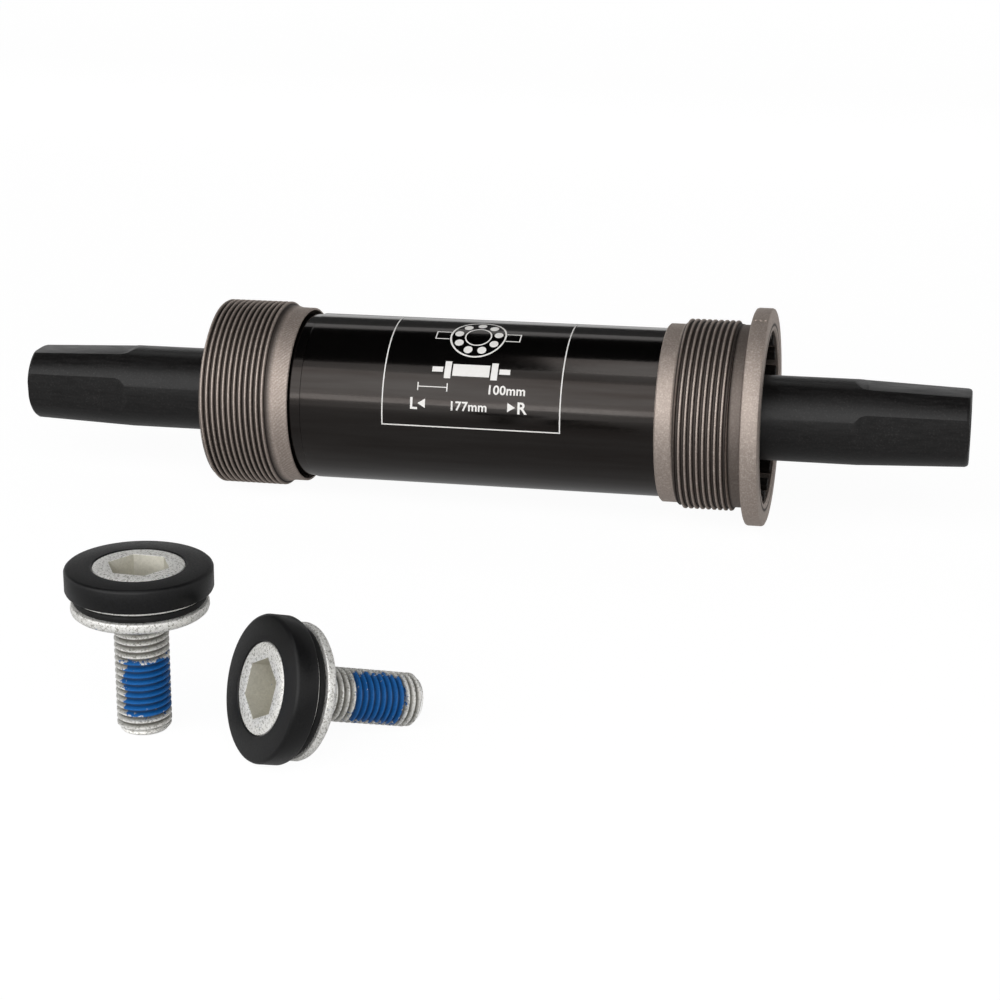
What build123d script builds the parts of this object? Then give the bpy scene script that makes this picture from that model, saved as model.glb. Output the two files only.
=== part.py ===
"""Square-taper cartridge bottom bracket for a 100 mm threaded shell, with its two crank bolts.

The spindle lies along X, +X to the flanged (right-hand) side and +Z up.
The origin is on the spindle's axis, halfway between the two faces of the shell it fits.
"""

import os
from math import atan, cos, degrees, pi, radians, sin, tan

from build123d import *

# Shell and thread (BC 1.37 in x 24 TPI on both sides)
shell_width = 100.0
shell_pitch = 25.4 / 24
shell_crest_radius = 17.3
shell_thread_depth = 0.6
crest_width = 0.25
groove_width = 0.22

# Cups
left_cup_length = 16.8
left_thread_length = 12.9
right_cup_body_length = 15.6
right_plain_length = 3.8
right_relief_length = 2.9
relief_step = 0.7
plain_step = 1.0
lead_in = 0.5
flange_height = 2.46
flange_thickness = 3.2
flange_chamfer = 0.45
cup_seat_clearance = 0.06
cup_end_gap = 0.3
mouth_wall = 0.4
mouth_gap = 0.5
mouth_depth = 2.8

# Tool splines inside both cups
spline_count = 20
spline_wall = 1.0
spline_height = 1.4
spline_slot_width = 2.4
spline_recess = 0.6

# Sleeve, which stops short of both ends of the shell
sleeve_inset = 8.0
sleeve_wall = 1.4
sleeve_seat_step = 0.2
sleeve_seat_length = 10.9
sleeve_end_chamfer = 0.3

# Spindle
spindle_length = 177.0
spindle_offset = 0.4
spindle_radius = 7.735
shoulder_height = 1.0
taper_tip_width = 12.73
taper_angle = 2.0
taper_length = 18.0
taper_run_out = 3.2
taper_overlap = 0.1
spindle_end_chamfer = 0.6
bolt_hole_depth = 22.0
bolt_hole_countersink = 0.84
bolt_thread_clearance = 0.01
drill_point_depth = 1.8

# Bearings
bearing_inset = 3.0
race_wall = 1.3525
track_depth = 0.55
ball_clearance = 0.03
ball_spacing = 1.7
cage_side_gap = 0.25
cage_rim = 0.55
cage_pocket_clearance = 0.1
shield_thickness = 0.5
shield_inset = 0.25
shield_gap = 0.15
shield_clearance = 0.95
race_edge_chamfer = 0.3

# Retaining rings and dust seals
ring_thickness = 0.9
ring_groove_width = 1.0
ring_groove_depth = 0.65
ring_height = 1.9
ring_groove_clearance = 0.05
ring_opening_angle = 24.0
seal_gap = 0.2
seal_thickness = 1.4
seal_lip_clearance = 0.05
seal_lip_length = 1.2
seal_web_thickness = 0.8

# Crank bolts (M8 x 1)
bolt_pitch = 1.0
bolt_crest_radius = 3.95
bolt_thread_depth = 0.5
bolt_crest_width = 0.2
bolt_groove_width = 0.15
shank_length = 18.2
shank_plain_length = 1.6
shank_tip_chamfer = 0.7
washer_radius = 9.9
washer_thickness = 1.7
washer_edge_chamfer = 0.3
o_ring_radius = 9.55
o_ring_thickness = 1.3
o_ring_seat_radius = 8.25
lip_radius = 9.75
lip_thickness = 0.45
cap_ring_radius = 10.6
cap_ring_height = 3.6
cap_ring_edge = 0.5
cap_ring_clearance = 0.05
hub_radius = 6.65
hub_edge_chamfer = 0.4
hex_across_flats = 8.0
hex_depth = 5.0

# Where the two bolts lie on the surface under the bracket
upright_bolt_x = -24.5
upright_bolt_y = -114.0
lying_bolt_x = 3.5
lying_bolt_y = -111.0
lying_bolt_turn = -137.0

# Cutting shapes run this far past the surfaces they cut
overcut = 1.0

# Worked out from the values above
shell_half = shell_width / 2
shell_root_radius = shell_crest_radius - shell_thread_depth
relief_radius = shell_crest_radius - relief_step
plain_radius = shell_crest_radius - plain_step
mouth_radius = plain_radius - mouth_wall
flange_radius = shell_crest_radius + flange_height
flange_face = shell_half + flange_thickness
spline_root_radius = shell_root_radius - spline_wall
spline_tip_radius = spline_root_radius - spline_height
sleeve_radius = mouth_radius - mouth_gap
sleeve_seat_radius = sleeve_radius - sleeve_seat_step
sleeve_bore_radius = sleeve_radius - sleeve_wall
cup_seat_radius = sleeve_seat_radius + cup_seat_clearance
sleeve_half = shell_half - sleeve_inset
spline_end = sleeve_half + cup_end_gap
spindle_half = spindle_length / 2
shoulder_radius = spindle_radius + shoulder_height
bolt_root_radius = bolt_crest_radius - bolt_thread_depth
bolt_hole_radius = bolt_root_radius + bolt_thread_clearance
inner_race_radius = spindle_radius + race_wall + track_depth
outer_race_radius = sleeve_bore_radius - race_wall - track_depth
ball_pitch_radius = (inner_race_radius + outer_race_radius) / 2
track_radius = (outer_race_radius - inner_race_radius) / 2 + track_depth
ball_radius = track_radius - ball_clearance
ball_count = int(2 * pi * ball_pitch_radius / (2 * ball_radius + ball_spacing))
cage_inner_radius = inner_race_radius + cage_side_gap
cage_outer_radius = outer_race_radius - cage_side_gap
cage_half_width = ball_radius + cage_rim
bearing_width = 2 * (cage_half_width + shield_clearance + shield_thickness + shield_inset)
bearing_outer_end = sleeve_half - bearing_inset
bearing_inner_end = bearing_outer_end - bearing_width
bearing_middle = bearing_outer_end - bearing_width / 2
washer_top = shank_length + washer_thickness
lip_bottom = washer_top + o_ring_thickness
cap_ring_bottom = lip_bottom + lip_thickness
bolt_length = cap_ring_bottom + cap_ring_height

# The bracket rests on its flange and on the outer thread of its left cup, so the surface slopes
rest_left_x = lead_in - shell_half
rest_right_x = shell_half + flange_chamfer
rest_slope = (flange_radius - shell_crest_radius) / (rest_right_x - rest_left_x)
rest_angle = degrees(atan(rest_slope))


def rest_height(x):
    """Height of the surface that the bracket rests on, at a place along X."""
    return -shell_crest_radius - rest_slope * (x - rest_left_x)


def turned(points):
    """A solid of revolution about X from points given as (x, radius)."""
    outline = Polyline(*[(x, 0, radius) for x, radius in points], close=True)
    return revolve(make_face(outline), Axis.X, 360)


def bored(start, end, radius):
    """A cylinder along X, used to bore a hole between two places."""
    return Pos((start + end) / 2, 0, 0) * Rot(0, 90, 0) * Cylinder(radius, abs(end - start))


def ring(start, end, inner, outer):
    """A plain ring along X."""
    return turned([(start, inner), (end, inner), (end, outer), (start, outer)])


def mirrored(shape):
    """The left-hand copy of a right-hand piece."""
    return shape.mirror(Plane.YZ)


def thread_outline(start, end, pitch, crest, depth, flat, groove):
    """Points along a row of ridges that starts and ends at the root of the thread."""
    flank = (pitch - flat - groove) / 2
    ridges = int((end - start - groove) / pitch + 1e-6)
    points = []
    for ridge in range(ridges):
        foot = start + groove + ridge * pitch
        points.append((foot, crest - depth))
        points.append((foot + flank, crest))
        points.append((foot + flank + flat, crest))
        points.append((foot + 2 * flank + flat, crest - depth))
    return points


def shell_thread(start, end):
    return thread_outline(
        start, end, shell_pitch, shell_crest_radius, shell_thread_depth, crest_width, groove_width
    )


def cut_tool_slots(cup, start, end):
    """Slots between the splines that the fitting tool drives."""
    middle = (start + end) / 2
    height = spline_root_radius - spline_tip_radius + overcut
    slot = Box(abs(end - start), spline_slot_width, height)
    slot = Pos(middle, 0, spline_root_radius - height / 2) * slot
    for index in range(spline_count):
        cup -= Rot(360 / spline_count * index, 0, 0) * slot
    return cup


def make_left_cup():
    """The removable cup: a full-width thread, then a plain skirt with a thin mouth over the sleeve."""
    outer = -shell_half
    inner = outer + left_cup_length
    thread_end = outer + left_thread_length
    root = shell_root_radius
    points = [(outer, root - lead_in / 2)]
    points += shell_thread(outer + lead_in / 2, thread_end)
    points += [(thread_end, root), (thread_end + lead_in, plain_radius), (inner, plain_radius)]
    points += [(inner, mouth_radius), (inner - mouth_depth, mouth_radius)]
    points += [(inner - mouth_depth - lead_in, cup_seat_radius), (-spline_end, cup_seat_radius)]
    points += [(-spline_end, spline_tip_radius), (outer + spline_recess, spline_tip_radius)]
    points += [(outer + spline_recess, spline_root_radius), (outer, spline_root_radius)]
    return cut_tool_slots(turned(points), -spline_end, outer + spline_recess)


def make_drive_cup():
    """The flanged cup, pressed on to the sleeve."""
    inner = shell_half - right_cup_body_length
    thread_start = inner + right_plain_length
    thread_end = shell_half - right_relief_length
    root = shell_root_radius
    points = [(inner, sleeve_radius), (inner, plain_radius - lead_in / 2)]
    points += [(inner + lead_in / 2, plain_radius), (thread_start - lead_in, plain_radius)]
    points += [(thread_start, root)]
    points += shell_thread(thread_start, thread_end)
    points += [(thread_end + lead_in / 2, relief_radius), (shell_half, relief_radius)]
    points += [(shell_half, flange_radius - flange_chamfer)]
    points += [(shell_half + flange_chamfer, flange_radius)]
    points += [(flange_face - flange_chamfer, flange_radius)]
    points += [(flange_face, flange_radius - flange_chamfer), (flange_face, spline_root_radius)]
    points += [(flange_face - spline_recess, spline_root_radius)]
    points += [(flange_face - spline_recess, spline_tip_radius), (spline_end, spline_tip_radius)]
    points += [(spline_end, sleeve_radius)]
    return cut_tool_slots(turned(points), spline_end, flange_face - spline_recess)


def make_sleeve():
    """The tube that holds both bearings, stepped down at the left where the cup slides on."""
    seat_end = sleeve_seat_length - sleeve_half
    points = [(-sleeve_half, sleeve_bore_radius), (-sleeve_half, sleeve_seat_radius - sleeve_end_chamfer)]
    points += [(sleeve_end_chamfer - sleeve_half, sleeve_seat_radius), (seat_end, sleeve_seat_radius)]
    points += [(seat_end + sleeve_seat_step, sleeve_radius), (sleeve_half, sleeve_radius)]
    points += [(sleeve_half, sleeve_bore_radius)]
    sleeve = turned(points)
    groove = ring(
        bearing_outer_end,
        bearing_outer_end + ring_groove_width,
        sleeve_bore_radius - overcut,
        sleeve_bore_radius + ring_groove_depth,
    )
    return sleeve - groove - mirrored(groove)


def taper_end():
    """The space a right-hand taper keeps: a tapered square, then a steep run-out to full size."""
    corner_width = taper_tip_width + 2 * taper_length * tan(radians(taper_angle))
    full_width = 2 * spindle_radius + taper_overlap
    tip = spindle_half + spindle_offset
    stations = [(tip + overcut, taper_tip_width - 2 * overcut * tan(radians(taper_angle)))]
    stations += [(tip - taper_length, corner_width)]
    stations += [(tip - taper_length - taper_run_out, full_width)]
    square = [Plane.YZ.offset(x) * Rectangle(width, width) for x, width in stations]
    return loft(square[:2]) + loft(square[1:])


def make_spindle():
    """A round shaft with shoulders, and at each end a square taper with coned corners and a hole."""
    left = spindle_offset - spindle_half
    right = spindle_offset + spindle_half
    corner = spindle_radius - taper_length * tan(radians(taper_angle))
    edge = corner - spindle_end_chamfer
    points = [(left, 0), (left, edge), (left + spindle_end_chamfer, corner)]
    points += [(left + taper_length, spindle_radius), (-bearing_inner_end, spindle_radius)]
    points += [(-bearing_inner_end, shoulder_radius), (bearing_inner_end, shoulder_radius)]
    points += [(bearing_inner_end, spindle_radius), (right - taper_length, spindle_radius)]
    points += [(right - spindle_end_chamfer, corner), (right, edge), (right, 0)]
    shaft = turned(points)
    run = taper_length + taper_run_out
    right_end = bored(right - run, right, spindle_radius + overcut) - taper_end()
    left_end = Pos(2 * spindle_offset, 0, 0) * mirrored(right_end)
    shaft = shaft - right_end - left_end
    mouth = bolt_hole_radius + bolt_hole_countersink
    hole = [(right, 0), (right, mouth), (right - bolt_hole_countersink, bolt_hole_radius)]
    hole += [(right - bolt_hole_depth, bolt_hole_radius)]
    hole += [(right - bolt_hole_depth - drill_point_depth, 0)]
    hole = turned(hole)
    return shaft - hole - Pos(2 * spindle_offset, 0, 0) * mirrored(hole)


def ball_track():
    """The ring-shaped groove that the balls run in."""
    return Pos(bearing_middle, 0, 0) * Rot(0, 90, 0) * Torus(ball_pitch_radius, track_radius)


def chamfered_race(inner, outer):
    """A right-hand bearing race with its outer end's corners taken off."""
    start = bearing_inner_end
    end = bearing_outer_end
    corner = race_edge_chamfer
    points = [(start, inner), (end - corner, inner), (end, inner + corner)]
    points += [(end, outer - corner), (end - corner, outer), (start, outer)]
    return turned(points) - ball_track()


def make_balls():
    balls = Part()
    for index in range(ball_count):
        turn = Rot(360 / ball_count * index, 0, 0)
        balls += turn * Pos(bearing_middle, 0, ball_pitch_radius) * Sphere(ball_radius)
    return balls


def make_cage():
    """A ring with one round pocket for each ball."""
    cage = ring(
        bearing_middle - cage_half_width,
        bearing_middle + cage_half_width,
        cage_inner_radius,
        cage_outer_radius,
    )
    pocket = Sphere(ball_radius + cage_pocket_clearance)
    for index in range(ball_count):
        cage -= Rot(360 / ball_count * index, 0, 0) * Pos(bearing_middle, 0, ball_pitch_radius) * pocket
    return cage


def make_shield(start):
    return ring(start, start + shield_thickness, inner_race_radius + shield_gap, outer_race_radius)


def make_retaining_ring():
    """An open spring ring in the sleeve's groove."""
    outer = sleeve_bore_radius + ring_groove_depth - ring_groove_clearance
    start = bearing_outer_end + ring_groove_clearance
    body = ring(start, start + ring_thickness, outer - ring_height, outer)
    half = radians(ring_opening_angle / 2)
    reach = 2 * outer
    wedge = Polyline((0, 0), (reach * sin(half), -reach), (-reach * sin(half), -reach), close=True)
    gap = extrude(Plane.YZ.offset(start - overcut) * make_face(wedge), ring_thickness + 2 * overcut)
    return body - gap


def make_dust_seal():
    """A rubber disc in the mouth of the sleeve with a thick lip round the spindle."""
    start = bearing_outer_end + ring_groove_width + seal_gap
    end = start + seal_thickness
    lip = spindle_radius + seal_lip_clearance
    web = start + seal_web_thickness
    points = [(start, lip), (end, lip), (end, lip + seal_lip_length / 2)]
    points += [(web, lip + seal_lip_length), (web, sleeve_bore_radius - seal_lip_length)]
    points += [(end, sleeve_bore_radius - seal_lip_length), (end, sleeve_bore_radius)]
    points += [(start, sleeve_bore_radius)]
    return turned(points)


def upright(points):
    """A solid of revolution about Z from points given as (height, radius)."""
    outline = Polyline(*[(radius, 0, height) for height, radius in points], close=True)
    return revolve(make_face(outline), Axis.Z, 360)


def make_bolt():
    """The crank bolt standing on its tip: threaded shank, washer face, O-ring seat, lip and hub."""
    root = bolt_root_radius
    tip = root - shank_tip_chamfer
    thread_end = shank_length - shank_plain_length
    points = [(0, 0), (0, tip), (shank_tip_chamfer, root)]
    points += thread_outline(
        shank_tip_chamfer,
        thread_end,
        bolt_pitch,
        bolt_crest_radius,
        bolt_thread_depth,
        bolt_crest_width,
        bolt_groove_width,
    )
    points += [(shank_length, root), (shank_length, washer_radius - washer_edge_chamfer)]
    points += [(shank_length + washer_edge_chamfer, washer_radius), (washer_top, washer_radius)]
    points += [(washer_top, o_ring_seat_radius), (lip_bottom, o_ring_seat_radius)]
    points += [(lip_bottom, lip_radius), (cap_ring_bottom, lip_radius), (cap_ring_bottom, hub_radius)]
    points += [(bolt_length - hub_edge_chamfer, hub_radius)]
    points += [(bolt_length, hub_radius - hub_edge_chamfer), (bolt_length, 0)]
    socket = RegularPolygon(hex_across_flats / 2, 6, major_radius=False)
    socket = extrude(Plane.XY.offset(bolt_length - hex_depth) * socket, hex_depth + overcut)
    return upright(points) - socket


def make_o_ring():
    """A soft ring squeezed between the washer face and the lip."""
    waist = (o_ring_radius - o_ring_seat_radius) / 2
    points = [(washer_top, o_ring_seat_radius), (washer_top, o_ring_radius - waist / 2)]
    points += [(washer_top + waist / 2, o_ring_radius), (lip_bottom - waist / 2, o_ring_radius)]
    points += [(lip_bottom, o_ring_radius - waist / 2), (lip_bottom, o_ring_seat_radius)]
    return upright(points)


def make_cap_ring():
    """The plastic ring round the hub."""
    inner = hub_radius + cap_ring_clearance
    points = [(cap_ring_bottom, inner), (cap_ring_bottom, cap_ring_radius - cap_ring_edge / 2)]
    points += [(cap_ring_bottom + cap_ring_edge / 2, cap_ring_radius)]
    points += [(bolt_length - cap_ring_edge, cap_ring_radius)]
    points += [(bolt_length, cap_ring_radius - cap_ring_edge), (bolt_length, inner)]
    return upright(points)


def upright_place():
    """Stands a bolt on its tip on the resting surface."""
    height = rest_height(upright_bolt_x)
    return Pos(upright_bolt_x, upright_bolt_y, height) * Rot(0, rest_angle, 0)


def lying_place():
    """Lays a bolt on the edge of its cap ring and on its tip, head towards the front."""
    tip_radius = bolt_crest_radius
    tip_height = bolt_thread_depth + shank_tip_chamfer + bolt_groove_width
    ring_height = bolt_length - cap_ring_edge
    dip = atan((cap_ring_radius - tip_radius) / (ring_height - tip_height))
    middle = (ring_height + tip_height) / 2
    rise = (cap_ring_radius + tip_radius) / 2 * cos(dip)
    surface = Pos(lying_bolt_x, lying_bolt_y, rest_height(lying_bolt_x)) * Rot(0, rest_angle, 0)
    heading = surface * Rot(0, 0, lying_bolt_turn) * Pos(0, 0, rise)
    return heading * Rot(0, 90 - degrees(dip), 0) * Pos(0, 0, -middle)


def build():
    """Every sub-part by name."""
    shields = {
        "inboard": bearing_inner_end + shield_inset,
        "outboard": bearing_outer_end - shield_inset - shield_thickness,
    }
    parts = {
        "cartridge_sleeve": make_sleeve(),
        "drive_cup": make_drive_cup(),
        "left_cup": make_left_cup(),
        "spindle": make_spindle(),
        "spacer_tube": ring(-bearing_inner_end, bearing_inner_end, outer_race_radius, sleeve_bore_radius),
    }
    paired = {
        "outer_race": chamfered_race(outer_race_radius, sleeve_bore_radius),
        "inner_race": chamfered_race(spindle_radius, inner_race_radius),
        "balls": make_balls(),
        "cage": make_cage(),
        "retaining_ring": make_retaining_ring(),
        "dust_seal": make_dust_seal(),
    }
    for place, start in shields.items():
        paired[place + "_shield"] = make_shield(start)
    for name, shape in paired.items():
        parts["right_" + name] = shape
        parts["left_" + name] = mirrored(shape)
    places = {"upright": upright_place(), "lying": lying_place()}
    for place, location in places.items():
        parts[place + "_bolt"] = location * make_bolt()
        parts[place + "_o_ring"] = location * make_o_ring()
        parts[place + "_cap_ring"] = location * make_cap_ring()
    return parts


os.makedirs("parts", exist_ok=True)
for node_name, node_shape in build().items():
    export_step(node_shape, "parts/" + node_name + ".step")
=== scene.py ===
"""Square-taper cartridge bottom bracket and its two crank bolts, in a plain pale studio.

The spindle lies along X with the flanged cup at +X, the front is -Y, and lengths are in metres.
"""

from math import atan, atan2, cos, degrees, hypot, pi, radians, sin, tan

import bpy
from mathutils import Matrix, Vector


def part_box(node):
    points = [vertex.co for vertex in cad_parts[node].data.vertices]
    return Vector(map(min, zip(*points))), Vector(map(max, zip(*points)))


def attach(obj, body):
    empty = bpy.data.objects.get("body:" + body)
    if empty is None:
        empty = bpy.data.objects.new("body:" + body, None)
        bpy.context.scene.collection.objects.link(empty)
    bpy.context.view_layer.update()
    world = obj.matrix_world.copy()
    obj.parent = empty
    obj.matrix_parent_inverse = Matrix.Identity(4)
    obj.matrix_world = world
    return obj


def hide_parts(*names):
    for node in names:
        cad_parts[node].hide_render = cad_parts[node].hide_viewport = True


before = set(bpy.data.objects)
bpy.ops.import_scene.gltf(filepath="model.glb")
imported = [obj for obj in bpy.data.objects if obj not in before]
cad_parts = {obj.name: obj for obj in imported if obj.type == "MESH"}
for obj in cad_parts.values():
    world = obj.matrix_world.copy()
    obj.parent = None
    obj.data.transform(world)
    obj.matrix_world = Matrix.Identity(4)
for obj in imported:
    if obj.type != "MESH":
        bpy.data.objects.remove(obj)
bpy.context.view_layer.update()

MM = 0.001

# Sizes of the details, in millimetres
THREAD_PITCH = 25.4 / 24
THREAD_DEPTH = 0.6
THREAD_CREST = 0.25
THREAD_FOOT = 0.84
THREAD_LEAD = 0.35
PLAIN_STEP = 1.0
MOUTH_WALL = 0.4
MOUTH_DEPTH = 2.8
SLEEVE_SEAT_STEP = 0.2
SLEEVE_SEAT_LENGTH = 10.9
SPLINE_COUNT = 20
SPLINE_HEIGHT = 1.4
SPLINE_WALL = 1.0
SPLINE_WIDTH = 2.3
SPLINE_RECESS = 0.6
LEFT_THREAD_LENGTH = 12.9
DRIVE_NOSE = 3.4
RELIEF_LENGTH = 2.3
RELIEF_DEPTH = 0.7
FLANGE_THICK = 3.2
FLANGE_CORNER = 0.45
TAPER_TIP_WIDTH = 12.73
TAPER_ANGLE = 2.0
TAPER_LENGTH = 18.0
TAPER_RUN_OUT = 3.2
BOLT_HOLE_RADIUS = 3.46
BOLT_HOLE_DEPTH = 22.0
TURN_STEPS = 192

# The crank bolt with its two rings: radii, thicknesses, and heights above its tip
BOLT_CREST = 3.95
BOLT_ROOT = 3.45
BOLT_TIP = 2.7
BOLT_PITCH = 1.0
BOLT_THREAD_DEPTH = 0.5
BOLT_THREAD_CREST = 0.22
BOLT_THREAD_FOOT = 0.86
BOLT_THREAD_LEAD = 0.7
SHANK_TOP = 18.2
WASHER_THICK = 1.7
WASHER_RADIUS = 9.9
RING_SEAT = 8.25
RING_THICK = 1.3
LIP_THICK = 0.45
LIP_RADIUS = 9.75
HUB_RADIUS = 6.65
CAP_TALL = 3.6
CAP_INNER = 6.7
CAP_OUTER = 10.6
HEX_ACROSS_FLATS = 8.0
HEX_DEPTH = 5.0

# The thread-lock patch: its ends above the tip, half its reach round in degrees, and its faded edge
PATCH_LOW = 2.6
PATCH_HIGH = 12.6
PATCH_FADE = 1.6
PATCH_HALF_ANGLE = 84
PATCH_FADE_ANGLE = 34

# Where the lying bolt touches the surface: at its first full thread and its cap ring's edge
LOW_CONTACT = 1.35
HIGH_CONTACT = 24.75

# Where the left cup touches the surface, from its outer end
CUP_CONTACT = 0.5


# ---------------------------------------------------------------- modelling


def deselect():
    """Leaves edit mode with nothing selected."""
    if bpy.context.object and bpy.context.object.mode != "OBJECT":
        bpy.ops.object.mode_set(mode="OBJECT")
    bpy.ops.object.select_all(action="DESELECT")


def pick(piece):
    """Makes a piece the only one selected, and the active one."""
    deselect()
    piece.select_set(True)
    bpy.context.view_layer.objects.active = piece


def draw_outline(name, points, closed=False):
    """Draws a line of edges in the XZ plane from points given in millimetres as (x, z)."""
    deselect()
    bpy.ops.mesh.primitive_plane_add(size=MM)
    piece = bpy.context.object
    piece.name = name
    piece.data.name = name
    bpy.ops.object.mode_set(mode="EDIT")
    bpy.ops.mesh.select_all(action="SELECT")
    bpy.ops.mesh.merge(type="CENTER")
    bpy.ops.transform.translate(value=(points[0][0] * MM, 0, points[0][1] * MM))
    stops = points[1:] + ([points[0]] if closed else [])
    last = points[0]
    for stop in stops:
        step = ((stop[0] - last[0]) * MM, 0, (stop[1] - last[1]) * MM)
        bpy.ops.mesh.extrude_region_move(TRANSFORM_OT_translate={"value": step})
        last = stop
    return piece


def close_up():
    """Merges the seams and poles of the piece in edit mode and points its faces outwards."""
    bpy.ops.mesh.select_all(action="SELECT")
    bpy.ops.mesh.remove_doubles(threshold=0.002 * MM)
    bpy.ops.mesh.normals_make_consistent(inside=False)
    bpy.ops.object.mode_set(mode="OBJECT")


def turn(name, points, axis=(1, 0, 0), steps=TURN_STEPS, closed=True):
    """A turned piece: an outline spun about an axis through the origin."""
    piece = draw_outline(name, points, closed)
    bpy.ops.mesh.select_all(action="SELECT")
    bpy.ops.mesh.spin(steps=steps, angle=2 * pi, center=(0, 0, 0), axis=axis)
    close_up()
    return piece


def apply_modifier(piece, kind, **settings):
    """Adds a modifier with its settings and applies it at once."""
    pick(piece)
    modifier = piece.modifiers.new(kind.title(), kind)
    for name, value in settings.items():
        setattr(modifier, name, value)
    bpy.ops.object.modifier_apply(modifier=modifier.name)


def join(pieces):
    """Joins pieces into the first one."""
    pick(pieces[0])
    for piece in pieces:
        piece.select_set(True)
    bpy.ops.object.join()
    return pieces[0]


def smooth(piece, angle=32):
    """Shades the piece smooth, apart from edges sharper than the angle."""
    pick(piece)
    bpy.ops.object.shade_smooth_by_angle(angle=radians(angle))


def soften(piece, width, angle=32, segments=2):
    """Takes the sharp corners off a finished piece."""
    apply_modifier(
        piece, "BEVEL", width=width * MM, segments=segments, limit_method="ANGLE",
        angle_limit=radians(angle), harden_normals=False,
    )


def thread_ridge(name, start, end, crest, depth, pitch, flat, foot, lead, axis="X", hand=1):
    """One helical ridge, sunk a little into its shaft and turned down by a cone at each end.

    hand is 1 for a right-hand thread and -1 for a left-hand one.
    """
    sink = 0.08
    side = (foot - flat) / 2
    begin = start - pitch
    turns = int((end - begin) / pitch) + 2
    low = crest - depth - sink
    outline = [(begin, low), (begin + side, crest)]
    outline += [(begin + side + flat, crest), (begin + foot, low)]
    if axis == "Z":
        outline = [(radius, height) for height, radius in outline]
    ridge = draw_outline(name, outline, closed=True)
    bpy.ops.mesh.select_all(action="SELECT")
    bpy.ops.mesh.remove_doubles(threshold=0.002 * MM)
    bpy.ops.object.mode_set(mode="OBJECT")
    apply_modifier(
        ridge, "SCREW", axis=axis, screw_offset=pitch * MM, iterations=turns,
        steps=TURN_STEPS // 2, render_steps=TURN_STEPS // 2, use_merge_vertices=True,
    )
    for vertex in ridge.data.vertices:
        spot = vertex.co
        if axis == "Z":
            spot = Vector((spot.z, spot.x, spot.y))
        along = min(max(spot.x, start * MM), end * MM)
        reach = hypot(spot.y, spot.z)
        room = min(along - start * MM, end * MM - along) / (lead * MM)
        limit = (crest - depth - sink) * MM + (depth + sink) * MM * min(1.0, room)
        scale = min(reach, limit) / reach
        spot = Vector((along, spot.y * scale * hand, spot.z * scale))
        vertex.co = Vector((spot.y, spot.z, spot.x)) if axis == "Z" else spot
    pick(ridge)
    bpy.ops.object.mode_set(mode="EDIT")
    bpy.ops.mesh.select_all(action="SELECT")
    bpy.ops.mesh.dissolve_degenerate(threshold=0.001 * MM)
    close_up()
    return ridge


def spline_teeth(name, start, end, tip, root):
    """The ring of blocks that the fitting tool drives."""
    deselect()
    middle = (start + end) / 2
    bpy.ops.mesh.primitive_cube_add(size=MM, location=(middle * MM, 0, (tip + root) / 2 * MM))
    teeth = bpy.context.object
    teeth.name = name
    bpy.ops.object.transform_apply(location=False)
    bpy.ops.object.mode_set(mode="EDIT")
    bpy.ops.mesh.select_all(action="SELECT")
    size = (abs(end - start), SPLINE_WIDTH, root - tip)
    bpy.ops.transform.resize(value=size)
    bpy.ops.mesh.bevel(offset=0.18 * MM, segments=2)
    bpy.ops.object.mode_set(mode="OBJECT")
    bpy.ops.object.transform_apply(location=True, rotation=True, scale=True)
    bpy.ops.object.mode_set(mode="EDIT")
    bpy.ops.mesh.select_all(action="SELECT")
    bpy.ops.mesh.spin(
        steps=SPLINE_COUNT, dupli=True, angle=2 * pi, center=(0, 0, 0), axis=(1, 0, 0)
    )
    close_up()
    return teeth


def finish_piece(piece, body, nodes, material):
    """Gives the piece its material, the body it rides on and the CAD nodes it stands for."""
    piece.data.materials.clear()
    piece.data.materials.append(material)
    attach(piece, body)
    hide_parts(*nodes)


# ---------------------------------------------------------------- materials
# Sizes in the patterns are millimetres: a noise of scale 1 / 0.3 has blobs about 0.3 mm across.
# Grit, flake and mould texture are finer in truth, and are drawn this coarse so that they show.


def linear(code):
    """Turns an sRGB hex colour into the linear one that a shader takes."""
    channels = [int(code[i : i + 2], 16) / 255 for i in (1, 3, 5)]
    return tuple(c / 12.92 if c <= 0.04045 else ((c + 0.055) / 1.055) ** 2.4 for c in channels) + (1,)


def add_node(tree, kind, inputs=None, out=None, **settings):
    """Adds a node with its settings, values and links; gives the node, or its output named by out."""
    node = tree.nodes.new("ShaderNode" + kind)
    for name, value in settings.items():
        setattr(node, name, value)
    for socket, value in (inputs or {}).items():
        if isinstance(value, bpy.types.NodeSocket):
            tree.links.new(value, node.inputs[socket])
        else:
            node.inputs[socket].default_value = value
    return node if out is None else node.outputs[out]


def start_material(name, **shader):
    """A material with a Principled shader and the piece's own coordinates in millimetres."""
    material = bpy.data.materials.new(name)
    material.use_nodes = True
    tree = material.node_tree
    tree.nodes.clear()
    surface = add_node(tree, "BsdfPrincipled", shader)
    add_node(tree, "OutputMaterial", {"Surface": surface.outputs[0]})
    place = add_node(tree, "TexCoord", out="Object")
    spot = add_node(tree, "VectorMath", {0: place, 3: 1 / MM}, out=0, operation="SCALE")
    return material, tree, surface, spot


def connect(tree, surface, outputs):
    """Links patterns to the sockets of the shader that they drive."""
    for socket, output in outputs.items():
        tree.links.new(output, surface.inputs[socket])


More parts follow.
